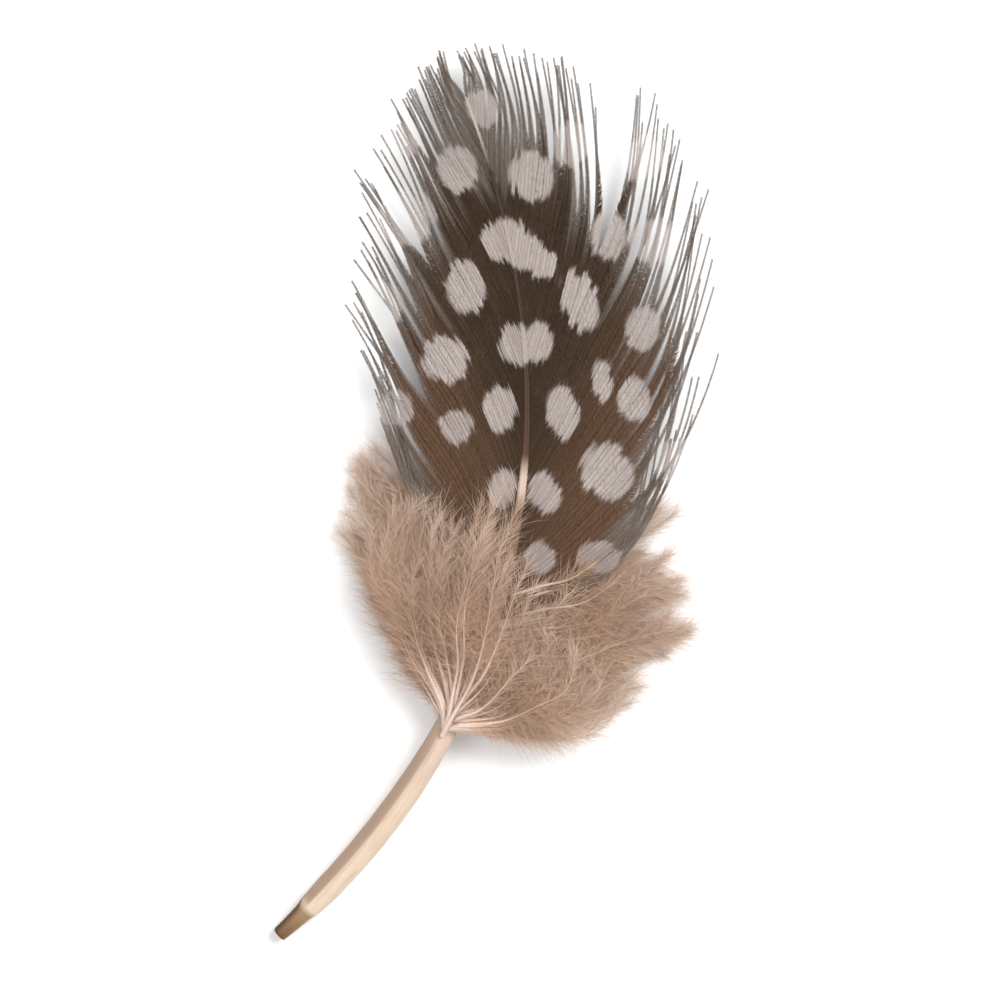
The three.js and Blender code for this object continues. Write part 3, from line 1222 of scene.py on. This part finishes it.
@dataclass
class DownFan(BarbFan):
    """Barbs of down: limp, wavy, with long fine barbules all round."""

    finish: DownFinish = DownFinish()
    barb_points: int = 34
    barb_radii: tuple[float, ...] = (0.15, 0.1, 0.05, 0.025, 0.015)
    pitch: float = 0.042
    barbule_length: Pair = (2.4, 1.7)
    barbule_width: float = 0.0105
    barbule_lean: Pair = (20.0, 75.0)
    end_lean: float = 0.55  # how much of that lean is left at a barb's end
    roll: float = 0.7  # how far barbules stand out of the barb's own plane, in radians
    wander: float = 0.9  # how far a barb drifts sideways by its end
    waver_width: float = 0.35
    wave_height: float = 0.25
    beat_spread: Pair = (0.35, 0.8)  # how many waves a barb has
    length_spread: Pair = (0.6, 1.0)
    ruffling: float = 0.3  # how far the slow waves move the fluff
    ruffled_run: Pair = (0.05, 0.5)
    waves: tuple[Wave, ...] = (
        Wave(0, 1.0, (0.0, 0.5, 0.3), 0.4),
        Wave(0, 0.4, (1.0, -0.8, 0.0), 1.9),
        Wave(1, 1.0, (0.6, 0.0, -0.3), 2.1),
        Wave(1, 0.4, (0.7, 0.9, 0.0)),
        Wave(2, 0.7, (0.8, 0.9, 0.0)),
        Wave(2, 0.4, (1.4, -1.2, 0.0), 0.8),
    )
    rest_height: Pair = (0.03, 0.05)  # how far above the floor strands stay, and how much of a dip is kept
    pale_run: Pair = (0.14, 0.46)  # where a barb's pale root fades
    pale_fade: Pair = (0.97, 0.88)  # how much of the paleness is lost, on fine barbs and on stout ones
    fine_earlier: float = 0.06  # how much earlier it is lost on fine barbs
    bold_from: float = 0.88  # the level in the fluff above which barbs are stout and pale
    stout: float = 1.2  # how much thicker than barb_radii the stout barbs are
    fine: Pair = (1.1, 0.5)  # the same for fine barbs, at the root and beyond it
    fine_run: Pair = (0.1, 0.4)
    barb_outer: float = 0.5
    lean_run: Pair = (0.55, 1.0)
    barbule_spread: Pair = (0.4, 1.3)
    barbule_root: float = 0.12  # the length of the first barbules, as a share of the others
    barbule_run: Pair = (0.08, 0.42)
    barbule_steps: tuple[float, ...] = (0.0, 0.34, 0.68, 1.0)
    barbule_taper: Triple = (1.0, 0.9, 0.6)
    curl: float = 0.28
    curl_forward: float = 0.1
    tone_share: float = 0.5  # how much of a barbule's tone is its barb's
    fluff_pale: Pair = (0.5, 0.6)  # how pale barbules are at the root, and how much they lose outwards
    fluff_pale_run: Pair = (0.1, 0.45)
    fluff_outer: Pair = (0.75, 0.6)  # how light the outer ones are, and the share of it at their root
    fluff_outer_run: Pair = (0.45, 1.0)

    def __post_init__(self) -> None:
        """Draws the small differences between the barbs."""
        rng = np.random.default_rng(self.seed)
        self.share = np.sort((np.arange(self.count) + rng.uniform(0.0, 1.0, self.count)) / self.count)
        self.level = rng.uniform(0.0, 1.0, self.count)
        self.phase = rng.uniform(0.0, math.tau, (2, self.count))
        self.beat = rng.uniform(*self.beat_spread, self.count)
        self.sway = rng.normal(0.0, self.wander, self.count)
        self.tones = rng.uniform(0.0, 1.0, self.count)
        self.shorter = rng.uniform(*self.length_spread, self.count)
        self.bold = (self.level > self.bold_from).astype(float)
        self.rng = rng

    def waver(self, which: Array, run: Array) -> Array:
        """How far barbs wander sideways along their length."""
        wave = np.sin(math.tau * self.beat[which] * run + self.phase[0, which])
        return (self.sway[which] * run + self.waver_width * wave) * run

    def swing(self, which: Array, run: Array) -> Array:
        """How far barbs rise and fall along their length."""
        return self.wave_height * np.sin(math.tau * self.beat[which] * run + self.phase[1, which]) * run

    def ruffle(self, spots: Array, run: Array) -> Array:
        """Points moved by slow waves that pass through the fluff.

        Args:
            spots: The points.
            run: How far along their barb they are.

        Returns:
            The moved points.
        """
        pushed = np.zeros_like(spots)
        for wave in self.waves:
            pushed[..., wave.axis] += wave.push(spots)
        moved = spots + self.ruffling * ease(*self.ruffled_run, run)[..., None] * pushed
        low, kept = self.rest_height
        moved[..., 2] = np.maximum(moved[..., 2], low + kept * np.abs(moved[..., 2]))
        return moved

    def build_on(self, node: str, name: str) -> bpy.types.Object:
        """Makes the barbs and barbules and settles them.

        Args:
            node: The CAD node that they stand for.
            name: The piece's name.

        Returns:
            The new object.
        """
        mesh = StrandMesh(name, ("pale", "outer", "tone"))
        self.add_barbs(mesh)
        self.add_barbules(mesh)
        return mesh.piece(self.finish.material(), node, Slot.DOWN)

    def add_barbs(self, mesh: StrandMesh) -> None:
        """Adds the barbs to a mesh.

        Args:
            mesh: The mesh that takes them.
        """
        which, run = self.grid(self.barb_points)
        bold = self.bold[which]
        radii = self.taper(run, self.barb_radii)
        radii = radii * between(between(*self.fine, ease(*self.fine_run, run)), self.stout, bold)
        faded = ease(*self.pale_run, run + between(self.fine_earlier, 0.0, bold))
        pale = 1.0 - between(*self.pale_fade, bold) * faded
        marks = {"pale": pale, "outer": self.barb_outer * run, "tone": self.tones[which]}
        paths = self.ruffle(self.points(which, run), run)
        mesh.tubes(paths, radii, self.rows(which, run, 0.0), BARB_STRIP / self.count, marks)

    def add_barbules(self, mesh: StrandMesh) -> None:
        """Adds the barbules of both edges of every barb to a mesh.

        Args:
            mesh: The mesh that takes them.
        """
        which, run, half = self.stations(self.pitch, self.rng)
        forward, across = self.directions(which, run)
        above = np.cross(across, forward) * self.side.value
        root = self.points(which, run)
        steps = np.array(self.barbule_steps)
        for hand in HANDS:
            lean = np.radians(self.rng.uniform(*self.barbule_lean, which.shape))
            lean = (lean * between(1.0, self.end_lean, ease(*self.lean_run, run)))[:, None]
            roll = self.rng.normal(0.0, self.roll, which.shape)[:, None]
            sideways = hand * np.cos(roll) * across + np.sin(roll) * above
            length = self.rng.uniform(*self.barbule_spread, which.shape)
            length = between(*self.barbule_length, run) * length
            length = length * between(self.barbule_root, 1.0, ease(*self.barbule_run, run))
            way = np.cos(lean) * forward + np.sin(lean) * sideways
            curl = self.rng.normal(0.0, self.curl, root.shape) + self.curl_forward * forward
            reach = length[:, None, None]
            bent = steps[:, None] * way[:, None] + steps[:, None] ** 2 * curl[:, None]
            spine = root[:, None] + reach * bent
            spine = self.ruffle(spine, np.broadcast_to(run[:, None], spine.shape[:2]))
            flat_across = unit(np.cross(way, self.rng.normal(0.0, 1.0, root.shape)))
            taper = np.array(self.barbule_taper)
            widths = self.barbule_width * np.broadcast_to(taper, (len(which), len(taper)))
            flat = self.rows(which[:, None], run[:, None], hand * between(*BARBULE_STRIP[::2], steps))
            own = self.rng.uniform(0.0, 1.0 - self.tone_share, which.shape)
            tone = np.clip(self.tone_share * self.tones[which] + own, 0.0, 1.0)
            rooted = self.fluff_pale[0] * (1.0 - ease(*self.fluff_pale_run, run))[:, None]
            outer = self.fluff_outer[0] * ease(*self.fluff_outer_run, run)[:, None]
            marks = {
                "pale": rooted * (1.0 - self.fluff_pale[1] * steps),
                "outer": outer * between(self.fluff_outer[1], 1.0, steps),
                "tone": tone[:, None],
            }
            mesh.ribbons(spine, flat_across, widths, flat, float(np.median(half)), marks)


@dataclass
class DownTuft(DownFan):
    """The tuft of down below one half of the vane, low and spread on the floor."""

    count: int = 58
    crest: float = 3.0
    edge: float = 0.7
    root_depth: float = 0.5
    waver_share: float = 0.7
    wave_height: float = 0.22
    layers: Pair = (0.25, 0.95)  # the heights of the lowest and the highest barbs, as shares of the tuft's
    settled_run: Pair = (0.0, 0.45)
    lowest: float = 0.08

    def __post_init__(self) -> None:
        """Draws the differences between the barbs and lays out their curves."""
        super().__post_init__()
        corners = DOWN_FAMILY.corners(self.line, self.side, self.share, self.root_depth)
        self.start, self.pull, self.tip = corners
        self.tip = between(self.start, self.tip, self.shorter[:, None])

    def plan(self, which: Array, run: Array) -> tuple[Array, Array]:
        """Where barbs pass over the feather.

        Args:
            which: The barbs' numbers.
            run: How far along each barb, from 0 to 1.

        Returns:
            The distances along the shaft and out to its right.
        """
        spot = bezier([self.start[which], self.pull[which], self.tip[which]], run)
        waver = self.waver_share * self.waver(which, run)
        return spot[..., 0] + waver, self.side.value * (spot[..., 1] - waver)

    def height(self, which: Array, run: Array, along: Array, out: Array) -> Array:
        """How high barbs pass above the floor.

        Args:
            which: The barbs' numbers.
            run: How far along each barb, from 0 to 1.
            along: The distances along the shaft there.
            out: The distances out from the shaft there; not used.

        Returns:
            The heights.
        """
        point, _, _ = self.line.frame(along)
        top = between(self.crest, self.edge, run * run)
        settled = between(*self.layers, self.level[which]) * top + self.swing(which, run)
        return np.maximum(between(point[..., 2], settled, ease(*self.settled_run, run)), self.lowest)

    def build(self) -> bpy.types.Object:
        """Makes this tuft and settles it."""
        return self.build_on(f"down_{self.side.word}", f"down_{self.side.word}_tuft")


@dataclass
class Afterfeather(DownFan):
    """The downy plume that springs from the collar and lies over the shaft."""

    count: int = 64
    pitch: float = 0.054
    # how far along the shaft it reaches, at places from its left edge to its right
    ends: tuple[Pair, ...] = (
        (0.0, 39.2),
        (0.38, 35.5),
        (0.5, 32.6),
        (0.58, 30.8),
        (0.68, 28.0),
        (1.0, 27.0),
    )
    floor: float = 3.2
    thickness: float = 2.3
    half_width: float = 9.5
    neck: float = 0.06
    flare: float = 0.62
    rounding: float = 0.28
    fork: float = 0.22  # how far along its own shaft barbs spring
    fork_fall: float = 0.7  # how much of that is lost at its sides
    fork_spread: Pair = (-0.3, 1.0)
    opening_run: Pair = (-0.15, 0.3)
    waver_shares: Pair = (0.4, 0.9)  # along the shaft and out
    crown: Pair = (0.05, 0.8)  # the stretch of a half wave that its back follows
    side_fall: float = 0.75
    lap: float = 0.35  # how far its roots dip onto the collar
    lap_run: float = 0.1

    def __post_init__(self) -> None:
        """Draws the differences between the barbs and spreads them over the fan."""
        super().__post_init__()
        self.fan = 2.0 * self.share - 1.0
        forking = self.fork * (1.0 - self.fork_fall * np.abs(self.fan))
        self.first = forking * self.rng.uniform(*self.fork_spread, self.count)

    def plan(self, which: Array, run: Array) -> tuple[Array, Array]:
        """Where barbs pass over the feather.

        Args:
            which: The barbs' numbers.
            run: How far along each barb, from 0 to 1.

        Returns:
            The distances along the shaft and out to its right.
        """
        fan = self.fan[which]
        reach = between(self.first[which], 1.0, run) * self.shorter[which]
        swell = np.sin(math.pi * self.flare * np.maximum(reach, 0.0))
        width = self.half_width * between(self.neck, 1.0, swell)
        end = np.interp(self.share[which], *np.array(self.ends).T)
        along = between(COLLAR, end, reach * (1.0 - self.rounding * fan * fan))
        waver = self.waver(which, run)
        forward, sideways = self.waver_shares
        return along + forward * waver, fan * width * ease(*self.opening_run, run) + sideways * waver

    def height(self, which: Array, run: Array, along: Array, out: Array) -> Array:
        """How high barbs pass above the floor.

        Args:
            which: The barbs' numbers.
            run: How far along each barb, from 0 to 1.
            along: The distances along the shaft there; not used.
            out: The distances out from the shaft there; not used.

        Returns:
            The heights.
        """
        fan = self.fan[which]
        rise = np.sin(math.pi * between(*self.crown, run)) * (1.0 - self.side_fall * fan * fan)
        lap = self.lap * (1.0 - ease(0.0, self.lap_run, run))
        return self.floor - lap + self.level[which] * self.thickness * rise + self.swing(which, run)

    def build(self) -> bpy.types.Object:
        """Makes the plume and settles it."""
        return self.build_on("afterfeather", "afterfeather_plume")


@dataclass(frozen=True)
class Lamp:
    """A square soft light: where it hangs, how wide it is and how strong."""

    name: str
    place: Triple
    width: float
    watts: float

    def hang(self) -> None:
        """Makes the light, aimed at the middle of the feather."""
        data = bpy.data.lights.new(self.name, "AREA")
        data.size = self.width * MILLIMETRE
        data.energy = self.watts
        light = bpy.data.objects.new(self.name, data)
        place = np.array(self.place) * MILLIMETRE
        light.location = place
        flat = math.hypot(place[0], place[1])
        light.rotation_euler = (math.atan2(flat, place[2]), 0.0, math.atan2(place[0], -place[1]))
        bpy.context.scene.collection.objects.link(light)


@dataclass
class Studio:
    """White floor, soft light and a camera that looks straight down."""

    floor_half: float = 1500.0
    floor_drop: float = 0.05
    floor_white: float = 0.9
    floor_spread: float = 0.01
    floor_clouds: Pair = (6.0, 2.0)
    floor_span: Pair = (0.3, 0.7)
    floor_roughness: float = 0.8
    floor_specular: float = 0.1
    sky: float = 0.65
    frame_width: float = 70.0
    lens: float = 100.0
    lamps: tuple[Lamp, ...] = (
        Lamp("key_light", (240.0, 180.0, 400.0), 220.0, 2.2),
        Lamp("fill_light", (-260.0, -60.0, 380.0), 320.0, 0.7),
    )

    def build(self) -> None:
        """Makes the floor, the lights and the camera."""
        self.lay_floor()
        for lamp in self.lamps:
            lamp.hang()
        self.light_sky()
        self.set_camera()

    def lay_floor(self) -> None:
        """Makes the floor."""
        half = self.floor_half * MILLIMETRE
        low = -self.floor_drop * MILLIMETRE
        mesh = bpy.data.meshes.new("floor")
        corners = [(-half, -half, low), (half, -half, low), (half, half, low), (-half, half, low)]
        mesh.from_pydata(corners, [], [(0, 1, 2, 3)])
        bench = NodeBench("floor_white")
        shades = (self.floor_white - self.floor_spread, self.floor_white + self.floor_spread)
        shade = bench.span(bench.noise(*self.floor_clouds), *self.floor_span, *shades)
        bench.set(Base_Color=shade, Roughness=self.floor_roughness, Specular_IOR_Level=self.floor_specular)
        mesh.materials.append(bench.material)
        floor = bpy.data.objects.new("floor", mesh)
        bpy.context.scene.collection.objects.link(floor)

    def light_sky(self) -> None:
        """Fills the room with even white light."""
        world = bpy.data.worlds.new("studio_room")
        world.use_nodes = True
        background = next(node for node in world.node_tree.nodes if node.type == "BACKGROUND")
        background.inputs["Color"].default_value = (1.0, 1.0, 1.0, 1.0)
        background.inputs["Strength"].default_value = self.sky
        bpy.context.scene.world = world
        bpy.context.scene.view_settings.view_transform = "Standard"

    def set_camera(self) -> None:
        """Hangs the camera over the feather."""
        data = bpy.data.cameras.new("camera")
        data.lens = self.lens
        data.clip_start = MILLIMETRE
        camera = bpy.data.objects.new("camera", data)
        camera.location = (0.0, 0.0, self.frame_width * self.lens / data.sensor_width * MILLIMETRE)
        bpy.context.scene.collection.objects.link(camera)
        bpy.context.scene.camera = camera


def main() -> None:
    """Builds the feather piece by piece, then the studio round it."""
    logging.basicConfig(level=logging.INFO, format="%(name)s: %(message)s")
    line = ShaftLine()
    makers = (
        Quill(line, HornFinish(), SpotPattern()),
        VaneHalf(line, Side.LEFT, seed=11, closed=0.62, splits=((0.72, 1.2), (0.4, 1.2))),
        VaneHalf(line, Side.RIGHT, seed=12),
        DownTuft(line, Side.LEFT, seed=21),
        DownTuft(line, Side.RIGHT, seed=22),
        Afterfeather(line, Side.RIGHT, seed=31),
    )
    for maker in makers:
        piece = maker.build()
        triangles = len(piece.data.loops) - 2 * len(piece.data.polygons)
        LOG.info("%s: %d triangles", piece.name, triangles)
    Studio().build()


if __name__ == "__main__":
    main()
